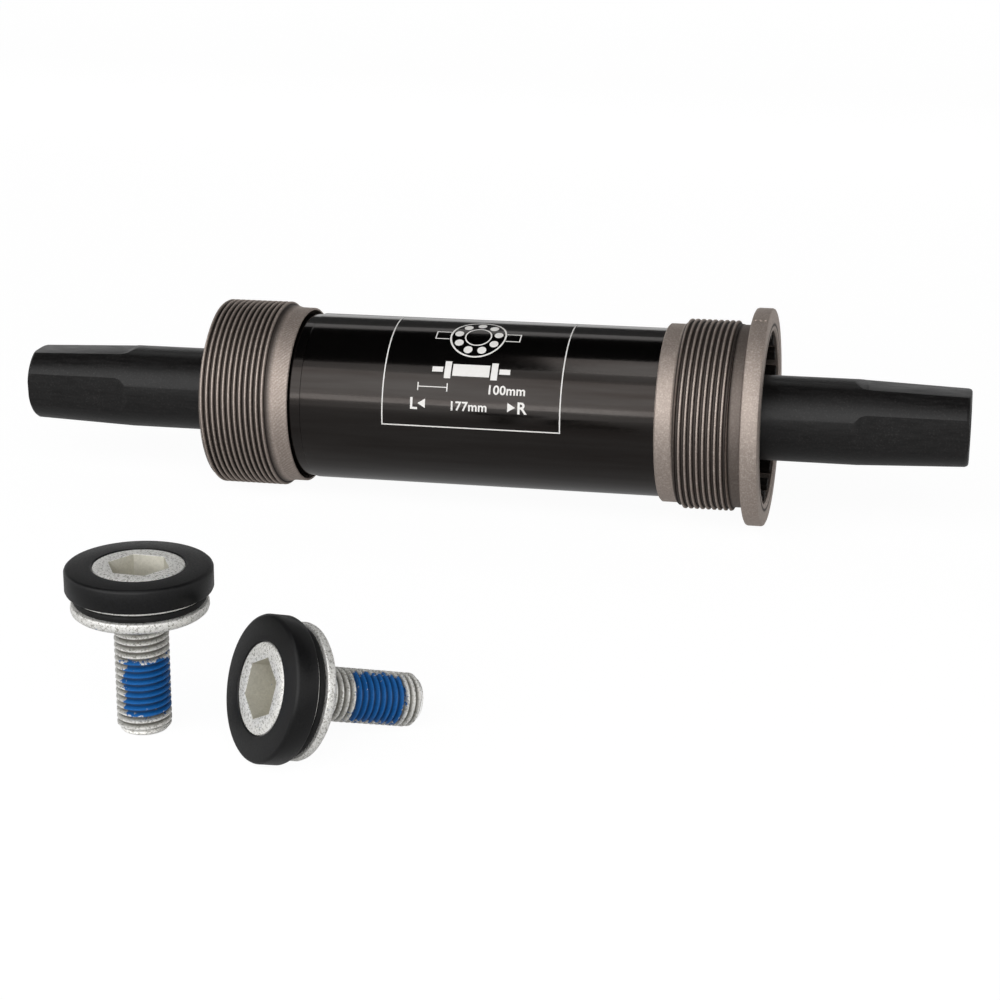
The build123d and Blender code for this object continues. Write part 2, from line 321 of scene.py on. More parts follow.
def blasted_nickel_steel():
    """Turned steel cups, bead-blasted and nickel plated: warm grey, satin, with painted shade in the
    grooves.
    """
    material, tree, surface, spot = start_material("blasted_nickel_plated_steel", Metallic=1.0)
    grain = {"Vector": spot, "Scale": 1 / 0.32, "Detail": 3.0, "Roughness": 0.75}
    grit = add_node(tree, "TexNoise", grain, out="Fac")
    plating = {"Vector": spot, "Scale": 1 / 6.0, "Detail": 2.0, "Roughness": 0.55}
    cloud = add_node(tree, "TexNoise", plating, out="Fac")
    greys = {"Factor": cloud, 6: linear("#ada199"), 7: linear("#bbaea5")}
    pale = add_node(tree, "Mix", greys, out=2, data_type="RGBA")
    glints = add_node(tree, "MapRange", {0: grit, 1: 0.5, 2: 0.75, 3: 0.0, 4: 0.65}, out=0)
    pale = add_node(tree, "Mix", {"Factor": glints, 6: pale, 7: linear("#ece3dc")}, out=2, data_type="RGBA")
    pits = add_node(tree, "MapRange", {0: grit, 1: 0.25, 2: 0.5, 3: 0.5, 4: 0.0}, out=0)
    pale = add_node(tree, "Mix", {"Factor": pits, 6: pale, 7: linear("#8f857e")}, out=2, data_type="RGBA")

    # Painted shade, told by the radius: the thread's grooves and flanks and the inside of the bore are
    # darker, and the thread crests carry a painted highlight
    crest_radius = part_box("left_cup")[1].z / MM
    along, sideways, upwards = add_node(tree, "SeparateXYZ", {0: spot}).outputs
    across = add_node(tree, "CombineXYZ", {"Y": sideways, "Z": upwards}, out=0)
    radius = add_node(tree, "VectorMath", {0: across}, out="Value", operation="LENGTH")
    near, far = crest_radius - 0.5, crest_radius - 0.04
    crest = add_node(tree, "MapRange", {0: radius, 1: near, 2: far}, out=0)
    near, far = crest_radius - PLAIN_STEP + 0.1, crest_radius - THREAD_DEPTH + 0.05
    plain = add_node(tree, "MapRange", {0: radius, 1: near, 2: far, 3: 1.0, 4: 0.0}, out=0)
    lit = add_node(tree, "Math", {0: crest, 1: plain}, out=0, operation="MAXIMUM")
    shade = add_node(tree, "Mix", {"Factor": lit, 6: linear("#2b2624"), 7: pale}, out=2, data_type="RGBA")
    # Painted shade inside the bore and on the splines
    mouth = crest_radius - THREAD_DEPTH - SPLINE_WALL - 0.12
    outside = add_node(tree, "MapRange", {0: radius, 1: mouth, 2: mouth + 0.2}, out=0)
    inner = {"Factor": outside, 6: linear("#24211f"), 7: shade}
    shade = add_node(tree, "Mix", inner, out=2, data_type="RGBA")

    # Slanting chatter marks of the lathe, on the left cup's skirt only
    heading = add_node(tree, "Math", {0: upwards, 1: sideways}, out=0, operation="ARCTAN2")
    around = add_node(tree, "Math", {0: heading, 1: crest_radius}, out=0, operation="MULTIPLY")
    unrolled = add_node(tree, "CombineXYZ", {"X": along, "Y": around}, out=0)
    slant = {"Vector": unrolled, "Scale": 0.8, "Distortion": 0.6}
    chatter = add_node(tree, "TexWave", slant, out="Fac", bands_direction="DIAGONAL")
    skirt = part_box("left_cup")[1].x / MM
    begins = add_node(tree, "MapRange", {0: along, 1: skirt - 2.6, 2: skirt - 2.4}, out=0)
    ends = add_node(tree, "MapRange", {0: along, 1: skirt, 2: skirt + 0.2, 3: 0.22, 4: 0.0}, out=0)
    marked = add_node(tree, "Math", {0: begins, 1: ends}, out=0, operation="MULTIPLY")
    marked = add_node(tree, "Math", {0: marked, 1: chatter}, out=0, operation="MULTIPLY")
    worn = {"Factor": marked, 6: shade, 7: linear("#5a524c")}
    satin = {0: grit, 1: 0.3, 2: 0.7, 3: 0.56, 4: 0.7}
    connect(tree, surface, {
        "Base Color": add_node(tree, "Mix", worn, out=2, data_type="RGBA"),
        "Roughness": add_node(tree, "MapRange", satin, out=0),
        "Normal": add_node(tree, "Bump", {"Height": grit, "Distance": 0.05 * MM, "Strength": 0.7}, out=0),
    })
    return material


def black_oxide_steel():
    """Forged and machined spindle, blackened: near black with a satin sheen and faint tool marks.

    Light meets the oxide film and not bare metal, so nothing here is metallic.
    """
    material, tree, surface, spot = start_material("black_oxide_steel", IOR=1.36)
    drawn = add_node(tree, "VectorMath", {0: spot, 1: (0.15, 1.0, 1.0)}, out=0, operation="MULTIPLY")
    lines = {"Vector": drawn, "Scale": 1 / 0.5, "Detail": 4.0, "Roughness": 0.6}
    marks = add_node(tree, "TexNoise", lines, out="Fac")
    crystals = {"Vector": spot, "Scale": 1 / 0.35, "Detail": 3.0, "Roughness": 0.7}
    speck = add_node(tree, "TexNoise", crystals, out="Fac")
    handled = {"Vector": spot, "Scale": 1 / 7.0, "Detail": 2.0, "Roughness": 0.55}
    cloud = add_node(tree, "TexNoise", handled, out="Fac")
    depth = add_node(tree, "MapRange", {0: marks, 1: 0.3, 2: 0.7}, out=0)
    blacks = {"Factor": depth, 6: linear("#0d0c0c"), 7: linear("#191818")}
    shade = add_node(tree, "Mix", blacks, out=2, data_type="RGBA")
    dust = add_node(tree, "MapRange", {0: speck, 1: 0.52, 2: 0.75, 3: 0.0, 4: 0.5}, out=0)
    dust = add_node(tree, "Math", {0: dust, 1: cloud}, out=0, operation="MULTIPLY")
    dusty = {"Factor": dust, 6: shade, 7: linear("#4a4847")}
    satin = {0: marks, 1: 0.3, 2: 0.7, 3: 0.3, 4: 0.44}
    connect(tree, surface, {
        "Base Color": add_node(tree, "Mix", dusty, out=2, data_type="RGBA"),
        "Roughness": add_node(tree, "MapRange", satin, out=0),
        "Normal": add_node(tree, "Bump", {"Height": speck, "Distance": 0.02 * MM, "Strength": 0.6}, out=0),
    })
    return material


def gloss_black_enamel():
    """Stoved black enamel over a drawn tube: glossy jet black whose mirrored light is streaked
    lengthwise, softened by a faint ripple and a little warm."""
    material, tree, surface, spot = start_material("gloss_black_enamel", IOR=1.52)
    sag = {"Vector": spot, "Scale": 1 / 9.0, "Detail": 1.0, "Roughness": 0.55}
    ripple = add_node(tree, "TexNoise", sag, out="Fac")
    specks = {"Vector": spot, "Scale": 1 / 0.35, "Detail": 2.0, "Roughness": 0.55}
    dust = add_node(tree, "TexNoise", specks, out="Fac")
    blacks = {"Factor": ripple, 6: linear("#040404"), 7: linear("#080707")}
    gloss = {0: dust, 1: 0.35, 2: 0.75, 3: 0.09, 4: 0.17}

    # Wide lengthwise bands tint the mirrored light
    wide = add_node(tree, "VectorMath", {0: spot, 1: (0.06, 1.0, 1.0)}, out=0, operation="MULTIPLY")
    broad = {"Vector": wide, "Scale": 1 / 3.2, "Detail": 4.0, "Roughness": 0.62}
    bands = add_node(tree, "TexNoise", broad, out="Fac")
    warmth = add_node(tree, "MapRange", {0: bands, 1: 0.34, 2: 0.64}, out=0)
    tints = {"Factor": warmth, 6: linear("#d4c6bf"), 7: linear("#fff6f0")}

    # Narrow lengthwise streaks of the drawn tube show through as a slight unevenness
    drawn = add_node(tree, "VectorMath", {0: spot, 1: (0.015, 1.0, 1.0)}, out=0, operation="MULTIPLY")
    fine = {"Vector": drawn, "Scale": 1 / 1.6, "Detail": 3.0, "Roughness": 0.6}
    streaks = add_node(tree, "TexNoise", fine, out="Fac")
    rippled = add_node(tree, "Bump", {"Height": ripple, "Distance": 0.05 * MM, "Strength": 0.25}, out=0)
    streaked = {"Height": streaks, "Distance": 0.024 * MM, "Strength": 0.5, "Normal": rippled}
    connect(tree, surface, {
        "Base Color": add_node(tree, "Mix", blacks, out=2, data_type="RGBA"),
        "Specular Tint": add_node(tree, "Mix", tints, out=2, data_type="RGBA"),
        "Roughness": add_node(tree, "MapRange", gloss, out=0),
        "Normal": add_node(tree, "Bump", streaked, out=0),
    })
    return material


def screen_print_white():
    """Screen-printed ink: chalky, slightly warm white with an uneven edge to its gloss."""
    material, tree, surface, spot = start_material("screen_print_white_ink", IOR=1.45)
    mesh_marks = {"Vector": spot, "Scale": 1 / 0.8, "Detail": 2.0, "Roughness": 0.55}
    patch = add_node(tree, "TexNoise", mesh_marks, out="Fac")
    whites = {"Factor": patch, 6: linear("#f6f3ee"), 7: linear("#fffefc")}
    connect(tree, surface, {
        "Base Color": add_node(tree, "Mix", whites, out=2, data_type="RGBA"),
        "Roughness": add_node(tree, "MapRange", {0: patch, 1: 0.3, 2: 0.7, 3: 0.35, 4: 0.5}, out=0),
    })
    return material


def zinc_flake_steel():
    """Crank bolt: cold-headed steel in a silver zinc-flake coat, mottled, with a blue nylon patch."""
    material, tree, surface, spot = start_material("zinc_flake_steel")
    flakes = {"Vector": spot, "Scale": 1 / 0.34, "Detail": 4.0, "Roughness": 0.75}
    mottle = add_node(tree, "TexNoise", flakes, out="Fac")
    bright = add_node(tree, "MapRange", {0: mottle, 1: 0.36, 2: 0.5}, out=0)
    silvers = {"Factor": bright, 6: linear("#a19e95"), 7: linear("#fffefa")}
    silver = add_node(tree, "Mix", silvers, out=2, data_type="RGBA")
    # Painted shade: the thread's grooves are darker, by how deep each point sits below the crest
    groove_shade = add_node(tree, "Attribute", out="Fac", attribute_name="thread_groove_shade")
    groove_shading = {"Factor": groove_shade, 6: silver, 7: linear("#77756e")}
    silver = add_node(tree, "Mix", groove_shading, out=2, data_type="RGBA")
    # Painted shade on the walls and floor of the hexagon socket
    socket_shade_tones = {"Factor": mottle, 6: linear("#a8a599"), 7: linear("#e2dfd3")}
    socket_shaded_silver = add_node(tree, "Mix", socket_shade_tones, out=2, data_type="RGBA")
    socket = add_node(tree, "Attribute", out="Fac", attribute_name="socket_shade")
    silver = add_node(tree, "Mix", {"Factor": socket, 6: silver, 7: socket_shaded_silver}, out=2, data_type="RGBA")

    # The nylon patch: powdery blue with painted shade in the grooves, and a ragged edge
    powder = {"Vector": spot, "Scale": 1 / 0.18, "Detail": 2.0, "Roughness": 0.55}
    grit = add_node(tree, "TexNoise", powder, out="Fac")
    blues = {"Factor": grit, 6: linear("#034a86"), 7: linear("#1076cb")}
    blue = add_node(tree, "Mix", blues, out=2, data_type="RGBA")
    patch_groove_shade = add_node(tree, "Math", {0: groove_shade, 1: 0.75}, out=0, operation="MULTIPLY")
    blue = add_node(tree, "Mix", {"Factor": patch_groove_shade, 6: blue, 7: linear("#02233f")}, out=2, data_type="RGBA")
    torn = {"Vector": spot, "Scale": 1 / 1.1, "Detail": 4.0, "Roughness": 0.7}
    smear = add_node(tree, "TexNoise", torn, out="Fac")
    smear = add_node(tree, "MapRange", {0: smear, 1: 0.25, 2: 0.75, 3: -0.6, 4: 0.6}, out=0)
    patch = add_node(tree, "Attribute", out="Fac", attribute_name="thread_lock")
    ragged = add_node(tree, "Math", {0: patch, 1: smear}, out=0, operation="ADD")
    covered = add_node(tree, "MapRange", {0: ragged, 1: 0.45, 2: 0.55}, out=0)
    coats = {"Factor": covered, 6: silver, 7: blue}
    connect(tree, surface, {
        "Base Color": add_node(tree, "Mix", coats, out=2, data_type="RGBA"),
        "Metallic": add_node(tree, "MapRange", {0: covered, 1: 0.0, 2: 1.0, 3: 0.5, 4: 0.0}, out=0),
        "Roughness": add_node(tree, "MapRange", {0: mottle, 1: 0.3, 2: 0.7, 3: 0.34, 4: 0.55}, out=0),
        "Normal": add_node(tree, "Bump", {"Height": mottle, "Distance": 0.035 * MM, "Strength": 0.7}, out=0),
    })
    return material


def moulded_black_acetal():
    """Moulded acetal cap ring: charcoal black with a fine spark-eroded texture."""
    material, tree, surface, spot = start_material("moulded_black_acetal", IOR=1.36)
    eroded = {"Vector": spot, "Scale": 1 / 0.25, "Detail": 3.0, "Roughness": 0.65}
    grit = add_node(tree, "TexNoise", eroded, out="Fac")
    peaks = add_node(tree, "MapRange", {0: grit, 1: 0.35, 2: 0.7}, out=0)
    blacks = {"Factor": peaks, 6: linear("#040405"), 7: linear("#131314")}
    connect(tree, surface, {
        "Base Color": add_node(tree, "Mix", blacks, out=2, data_type="RGBA"),
        "Roughness": add_node(tree, "MapRange", {0: grit, 1: 0.3, 2: 0.7, 3: 0.3, 4: 0.48}, out=0),
        "Normal": add_node(tree, "Bump", {"Height": grit, "Distance": 0.03 * MM, "Strength": 0.5}, out=0),
    })
    return material


def nitrile_rubber():
    """Moulded nitrile: dead black and dull, with a dusty bloom."""
    material, tree, surface, spot = start_material("moulded_nitrile_rubber", IOR=1.38)
    dusty = {"Vector": spot, "Scale": 1 / 1.2, "Detail": 3.0, "Roughness": 0.55}
    bloom = add_node(tree, "TexNoise", dusty, out="Fac")
    skin = {"Vector": spot, "Scale": 1 / 0.2, "Detail": 2.0, "Roughness": 0.55}
    grit = add_node(tree, "TexNoise", skin, out="Fac")
    blacks = {"Factor": bloom, 6: linear("#060606"), 7: linear("#101010")}
    connect(tree, surface, {
        "Base Color": add_node(tree, "Mix", blacks, out=2, data_type="RGBA"),
        "Roughness": add_node(tree, "MapRange", {0: bloom, 1: 0.3, 2: 0.7, 3: 0.5, 4: 0.7}, out=0),
        "Normal": add_node(tree, "Bump", {"Height": grit, "Distance": 0.01 * MM, "Strength": 0.5}, out=0),
    })
    return material


def two_tone(name, stretch, size, detail, tones, roughness, **shader):
    """A hidden part's finish: noise, stretched along its grain, between two tones and two gloss levels."""
    material, tree, surface, spot = start_material(name, **shader)
    grained = add_node(tree, "VectorMath", {0: spot, 1: stretch}, out=0, operation="MULTIPLY")
    noise = {"Vector": grained, "Scale": 1 / size, "Detail": detail, "Roughness": 0.55}
    lines = add_node(tree, "TexNoise", noise, out="Fac")
    colours = {"Factor": lines, 6: linear(tones[0]), 7: linear(tones[1])}
    gloss = {0: lines, 1: 0.3, 2: 0.7, 3: roughness[0], 4: roughness[1]}
    connect(tree, surface, {
        "Base Color": add_node(tree, "Mix", colours, out=2, data_type="RGBA"),
        "Roughness": add_node(tree, "MapRange", gloss, out=0),
    })
    return material


def ground_bearing_steel():
    """Ground and polished chrome steel of races and balls: bright, with fine rings of grinding."""
    tones = ("#b9bbbe", "#d9dadc")
    return two_tone("ground_bearing_steel", (4.0, 0.3, 0.3), 0.6, 3.0, tones, (0.12, 0.22), Metallic=1.0)


def stamped_cage_steel():
    """Stamped low-carbon strip: duller grey with a rolled grain."""
    tones = ("#8f8e8c", "#b3b1ad")
    return two_tone("stamped_cage_steel", (1.0, 1.0, 1.0), 0.7, 3.0, tones, (0.3, 0.45), Metallic=1.0)


def phosphated_spring_steel():
    """Spring steel rings, phosphated: dark grey and slightly oily, with fine crystals."""
    tones = ("#2c2c2e", "#4a4a4c")
    return two_tone("phosphated_spring_steel", (1.0, 1.0, 1.0), 0.25, 3.0, tones, (0.35, 0.55), Metallic=0.6)


def extruded_black_nylon():
    """Extruded nylon spacer tube: dull black with faint draw lines."""
    tones = ("#151515", "#242424")
    return two_tone("extruded_black_nylon", (0.1, 1.0, 1.0), 0.5, 2.0, tones, (0.4, 0.55), IOR=1.53)


# ---------------------------------------------------------------- the bracket


def sleeve(material):
    """The black tube, with its step at the left where the loose cup slides on."""
    low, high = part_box("cartridge_sleeve")
    left, right, outer = low.x / MM, high.x / MM, high.z / MM
    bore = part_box("spacer_tube")[1].z / MM
    seat = outer - SLEEVE_SEAT_STEP
    seat_end = left + SLEEVE_SEAT_LENGTH
    points = [(left, bore), (left, seat - 0.3), (left + 0.3, seat), (seat_end, seat)]
    points += [(seat_end + 0.15, outer - 0.03), (seat_end + 0.3, outer), (right - 0.2, outer)]
    points += [(right, outer - 0.2), (right, bore)]
    piece = turn("sleeve_tube", points)
    smooth(piece)
    finish_piece(piece, "cartridge", ["cartridge_sleeve"], material)
    return outer


def left_cup(material):
    """The loose cup: thread, plain skirt with a thin mouth over the sleeve, and splined mouth."""
    low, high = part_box("left_cup")
    outer, inner, crest = low.x / MM, high.x / MM, high.z / MM
    root = crest - THREAD_DEPTH
    plain = crest - PLAIN_STEP
    mouth = plain - MOUTH_WALL
    spline_root = root - SPLINE_WALL
    spline_tip = spline_root - SPLINE_HEIGHT
    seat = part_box("cartridge_sleeve")[1].z / MM - SLEEVE_SEAT_STEP + 0.06
    seat_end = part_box("cartridge_sleeve")[0].x / MM - 0.3
    thread_end = outer + LEFT_THREAD_LENGTH
    recess = outer + SPLINE_RECESS
    points = [(outer, root - 0.35), (outer + 0.3, root), (thread_end, root)]
    points += [(thread_end + 1.3, plain + 0.02), (inner - 0.15, plain)]
    points += [(inner, plain - 0.15), (inner, mouth), (inner - MOUTH_DEPTH, mouth)]
    points += [(inner - MOUTH_DEPTH - 0.5, seat), (seat_end, seat), (seat_end, spline_root)]
    points += [(outer + 0.3, spline_root), (outer, spline_root + 0.3)]
    body = turn("left_cup_shell", points)
    ridge = thread_ridge(
        "left_cup_thread", outer, thread_end, crest, THREAD_DEPTH, THREAD_PITCH,
        THREAD_CREST, THREAD_FOOT, THREAD_LEAD,
    )
    teeth = spline_teeth("left_cup_splines", recess, seat_end, spline_tip, spline_root + 0.15)
    smooth(body, 14)
    smooth(ridge, 50)
    smooth(teeth)
    finish_piece(join([body, ridge, teeth]), "left_cup_body", ["left_cup"], material)


def punch_dimple(piece, x, radius):
    """One of the maker's three little punch marks on the rim of the flange."""
    deselect()
    tilt = radians(14)
    reach = (radius + 0.1) * MM
    bpy.ops.mesh.primitive_uv_sphere_add(
        segments=12, ring_count=8, radius=0.3 * MM,
        location=(x * MM, -reach * sin(tilt), reach * cos(tilt)),
    )
    punch = bpy.context.object
    bpy.ops.object.transform_apply(location=True, rotation=True, scale=True)
    cut(piece, punch)


def drive_cup(material):
    """The flanged cup: plain nose, thread, relief groove, flange and splined mouth."""
    low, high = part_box("drive_cup")
    inner, face, flange = low.x / MM, high.x / MM, high.z / MM
    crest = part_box("left_cup")[1].z / MM
    root = crest - THREAD_DEPTH
    plain = crest - PLAIN_STEP
    sleeve_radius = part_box("cartridge_sleeve")[1].z / MM
    spline_root = root - SPLINE_WALL
    spline_tip = spline_root - SPLINE_HEIGHT
    seat_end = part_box("cartridge_sleeve")[1].x / MM + 0.3
    back = face - FLANGE_THICK
    thread_start = inner + DRIVE_NOSE
    thread_end = back - RELIEF_LENGTH
    relief = crest - RELIEF_DEPTH
    recess = face - SPLINE_RECESS
    points = [(inner, sleeve_radius), (inner, plain - 0.25), (inner + 0.25, plain)]
    points += [(thread_start - 0.5, plain), (thread_start, root), (thread_end, root)]
    points += [(thread_end + 0.3, relief), (back - 0.5, relief), (back - 0.15, relief + 0.12)]
    points += [(back, relief + 0.4), (back, flange - 0.4), (back + 0.15, flange - 0.12)]
    points += [(back + FLANGE_CORNER, flange), (face - FLANGE_CORNER, flange)]
    points += [(face - 0.15, flange - 0.12), (face, flange - FLANGE_CORNER)]
    points += [(face, spline_root + 0.3), (face - 0.3, spline_root)]
    points += [(seat_end, spline_root), (seat_end, sleeve_radius)]
    body = turn("drive_cup_shell", points)
    for step in range(3):
        punch_dimple(body, back + 0.75 + 0.85 * step, flange)
    ridge = thread_ridge(
        "drive_cup_thread", thread_start, thread_end, crest, THREAD_DEPTH, THREAD_PITCH,
        THREAD_CREST, THREAD_FOOT, THREAD_LEAD, hand=-1,
    )
    teeth = spline_teeth("drive_cup_splines", seat_end, recess, spline_tip, spline_root + 0.15)
    smooth(body)
    smooth(ridge, 50)
    smooth(teeth)
    finish_piece(join([body, ridge, teeth]), "cartridge", ["drive_cup"], material)


def cut(piece, cutter):
    """Cuts one mesh out of another and throws the cutter away."""
    apply_modifier(piece, "BOOLEAN", operation="DIFFERENCE", object=cutter, solver="EXACT")
    bpy.data.objects.remove(cutter)


def taper_cutter(tip, side, quarter):
    """The block that mills one flat: level with the taper, then a steep ramp out to full size."""
    slope = tan(radians(TAPER_ANGLE))
    near = TAPER_TIP_WIDTH / 2 - slope
    far = TAPER_TIP_WIDTH / 2 + slope * TAPER_LENGTH
    corner = tip - side * TAPER_LENGTH
    out = corner - side * TAPER_RUN_OUT
    points = [(tip + side, near), (corner, far), (corner - side * 0.9, far + 0.1)]
    points += [(out, 7.85), (out, 12.0), (tip + side, 12.0)]
    cutter = draw_outline("taper_cutter", points, closed=True)
    bpy.ops.mesh.select_all(action="SELECT")
    bpy.ops.mesh.remove_doubles(threshold=0.002 * MM)
    bpy.ops.mesh.select_all(action="SELECT")
    bpy.ops.mesh.edge_face_add()
    bpy.ops.transform.translate(value=(0, -12 * MM, 0))
    bpy.ops.mesh.extrude_region_move(TRANSFORM_OT_translate={"value": (0, 24 * MM, 0)})
    close_up()
    cutter.data.transform(Matrix.Rotation(quarter * pi / 2, 4, "X"))
    return cutter


def spindle(material):
    """The shaft: a drilled bolt hole and four milled flats at each end, a shoulder in the middle."""
    low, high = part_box("spindle")
    left, right, shoulder = low.x / MM, high.x / MM, high.z / MM
    radius = shoulder - 1.0
    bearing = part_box("left_inner_race")[1].x / MM
    shoulder_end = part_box("right_inner_race")[0].x / MM
    mouth = BOLT_HOLE_RADIUS + 0.84
    corner = radius - TAPER_LENGTH * tan(radians(TAPER_ANGLE))
    points = [(left + BOLT_HOLE_DEPTH + 1.8, 0), (left + BOLT_HOLE_DEPTH, BOLT_HOLE_RADIUS)]
    points += [(left + 0.84, BOLT_HOLE_RADIUS), (left, mouth), (left, corner - 0.6)]
    points += [(left + 0.18, corner - 0.25), (left + 0.6, corner), (left + TAPER_LENGTH, radius)]
    points += [(bearing, radius), (bearing, shoulder), (shoulder_end, shoulder)]
    points += [(shoulder_end, radius), (right - TAPER_LENGTH, radius), (right - 0.6, corner)]
    points += [(right - 0.18, corner - 0.25), (right, corner - 0.6)]
    points += [(right, mouth), (right - 0.84, BOLT_HOLE_RADIUS)]
    points += [(right - BOLT_HOLE_DEPTH, BOLT_HOLE_RADIUS), (right - BOLT_HOLE_DEPTH - 1.8, 0)]
    piece = turn("spindle_shaft_piece", points, closed=False)
    for tip, side in ((left, -1), (right, 1)):
        for quarter in range(4):
            cut(piece, taper_cutter(tip, side, quarter))
    soften(piece, 0.14, 24)
    smooth(piece, 28)
    finish_piece(piece, "spindle_shaft", ["spindle"], material)


# ---------------------------------------------------------------- the crank bolts


def crank_bolt(name, place, body, node, material, clocking, patch_heading):
    """Threaded shank, flared washer face, O-ring seat, lip, hub and hexagon socket."""
    washer_top = SHANK_TOP + WASHER_THICK
    lip_start = washer_top + RING_THICK
    lip_top = lip_start + LIP_THICK
    top = lip_top + CAP_TALL
    points = [(0, 0), (BOLT_TIP - 0.5, 0), (BOLT_TIP, 0.12)]
    # Rings all along the shank, so that the marks made on it have points to sit on
    points += [(BOLT_ROOT, 0.75 + 0.7 * step) for step in range(23)]
    points += [(BOLT_ROOT + 0.12, 17.1), (BOLT_ROOT + 0.4, 17.6)]
    points += [(BOLT_ROOT + 0.95, 17.95), (BOLT_ROOT + 1.9, 18.14)]
    points += [(WASHER_RADIUS - 1.2, SHANK_TOP), (WASHER_RADIUS - 0.5, SHANK_TOP + 0.2)]
    points += [(WASHER_RADIUS - 0.14, SHANK_TOP + 0.5), (WASHER_RADIUS, SHANK_TOP + 0.9)]
    points += [(WASHER_RADIUS - 0.05, washer_top - 0.15), (WASHER_RADIUS - 0.2, washer_top)]
    points += [(RING_SEAT, washer_top), (RING_SEAT, lip_start), (LIP_RADIUS - 0.15, lip_start)]
    points += [(LIP_RADIUS, lip_start + 0.12), (LIP_RADIUS, lip_top - 0.05)]
    points += [(LIP_RADIUS - 0.05, lip_top), (HUB_RADIUS, lip_top), (HUB_RADIUS, top - 0.35)]
    points += [(HUB_RADIUS - 0.13, top - 0.1), (HUB_RADIUS - 0.35, top), (0, top)]
    bolt = turn(name, points, axis=(0, 0, 1), closed=False)
    deselect()
    corner = HEX_ACROSS_FLATS / 2 / cos(pi / 6) * MM
    bpy.ops.mesh.primitive_cylinder_add(
        vertices=6, radius=corner, depth=(HEX_DEPTH + 1) * MM,
        location=(0, 0, (top - (HEX_DEPTH - 1) / 2) * MM), rotation=(0, 0, radians(clocking)),
    )
    socket = bpy.context.object
    bpy.ops.object.transform_apply(location=True, rotation=True, scale=True)
    cut(bolt, socket)
    soften(bolt, 0.12, 40)
    ridge = thread_ridge(
        name + "_thread", 0.3, 16.6, BOLT_CREST, BOLT_THREAD_DEPTH, BOLT_PITCH,
        BOLT_THREAD_CREST, BOLT_THREAD_FOOT, BOLT_THREAD_LEAD, axis="Z",
    )
    smooth(bolt, 35)
    smooth(ridge, 50)
    bolt = join([bolt, ridge])
    mark_bolt(bolt, top, patch_heading)
    bolt.data.transform(place)
    finish_piece(bolt, body, [node], material)


def mark_bolt(bolt, top, patch_heading):
    """Marks for the material the socket's faces and the thread's grooves, both given painted shade, and the
    thread-lock patch.
    """
    # Faces inside the hexagon socket get painted shade
    shade = bolt.data.attributes.new("socket_shade", "FLOAT", "FACE")
    for face, value in zip(bolt.data.polygons, shade.data):
        spot = face.center
        sunk = (top - 0.12) * MM > spot.z > (top - HEX_DEPTH - 0.2) * MM
        value.value = 1.0 if sunk and hypot(spot.x, spot.y) < 4.7 * MM else 0.0
    # Painted shade for the thread's grooves: how deep each point sits below the crest
    groove_shade = bolt.data.attributes.new("thread_groove_shade", "FLOAT", "POINT")
    for vertex, value in zip(bolt.data.vertices, groove_shade.data):
        depth = (BOLT_CREST - hypot(vertex.co.x, vertex.co.y) / MM) / BOLT_THREAD_DEPTH
        threaded = 1.2 * MM < vertex.co.z < 16.3 * MM
        value.value = max(0.0, min(1.0, depth)) if threaded else 0.0
    mark = bolt.data.attributes.new("thread_lock", "FLOAT", "POINT")
    for vertex, value in zip(bolt.data.vertices, mark.data):
        value.value = patch_cover(vertex.co, patch_heading)


def patch_cover(spot, heading):
    """How far inside the thread-lock patch a point is: 1 well inside, 0 well outside."""
    height = spot.z / MM
    turn_off = abs((degrees(atan2(spot.y, spot.x)) - heading + 180) % 360 - 180)
    along = min(height - PATCH_LOW, PATCH_HIGH - height) / PATCH_FADE
    around = (PATCH_HALF_ANGLE - turn_off) / PATCH_FADE_ANGLE
    on_shank = hypot(spot.x, spot.y) < (BOLT_CREST + 0.25) * MM
    return max(0.0, min(1.0, along, around)) if on_shank else 0.0


def o_ring(name, place, body, node, material):
    """A round rubber ring in the groove between the washer face and the lip."""
    half = RING_THICK / 2
    middle = SHANK_TOP + WASHER_THICK + half
    corners = [index * pi / 8 for index in range(16)]
    points = [(RING_SEAT + half + half * cos(angle), middle + half * sin(angle)) for angle in corners]
    ring = turn(name, points, axis=(0, 0, 1), steps=96)
    smooth(ring, 60)
    ring.data.transform(place)
    finish_piece(ring, body, [node], material)


def cap_ring(name, place, body, node, material):
    """The black ring round the hub, with rounded outer corners."""
    bottom = SHANK_TOP + WASHER_THICK + RING_THICK + LIP_THICK
    top = bottom + CAP_TALL
    points = [(CAP_INNER, bottom), (CAP_OUTER - 0.45, bottom), (CAP_OUTER - 0.12, bottom + 0.12)]
    points += [(CAP_OUTER, bottom + 0.4), (CAP_OUTER, top - 0.5), (CAP_OUTER - 0.1, top - 0.25)]
    points += [(CAP_OUTER - 0.28, top - 0.08), (CAP_OUTER - 0.55, top), (CAP_INNER + 0.15, top)]
    points += [(CAP_INNER, top - 0.15)]
    ring = turn(name, points, axis=(0, 0, 1))
    smooth(ring, 30)
    ring.data.transform(place)
    finish_piece(ring, body, [node], material)


# ---------------------------------------------------------------- the print on the sleeve

LABEL_MIDDLE = 1.0
LABEL_HALF_WIDTH = 16.4
LABEL_EDGES = (-1.2, 97)
FRAME_LINE = 0.11
INK_LIFT = 0.03
INK_STEP = 0.5


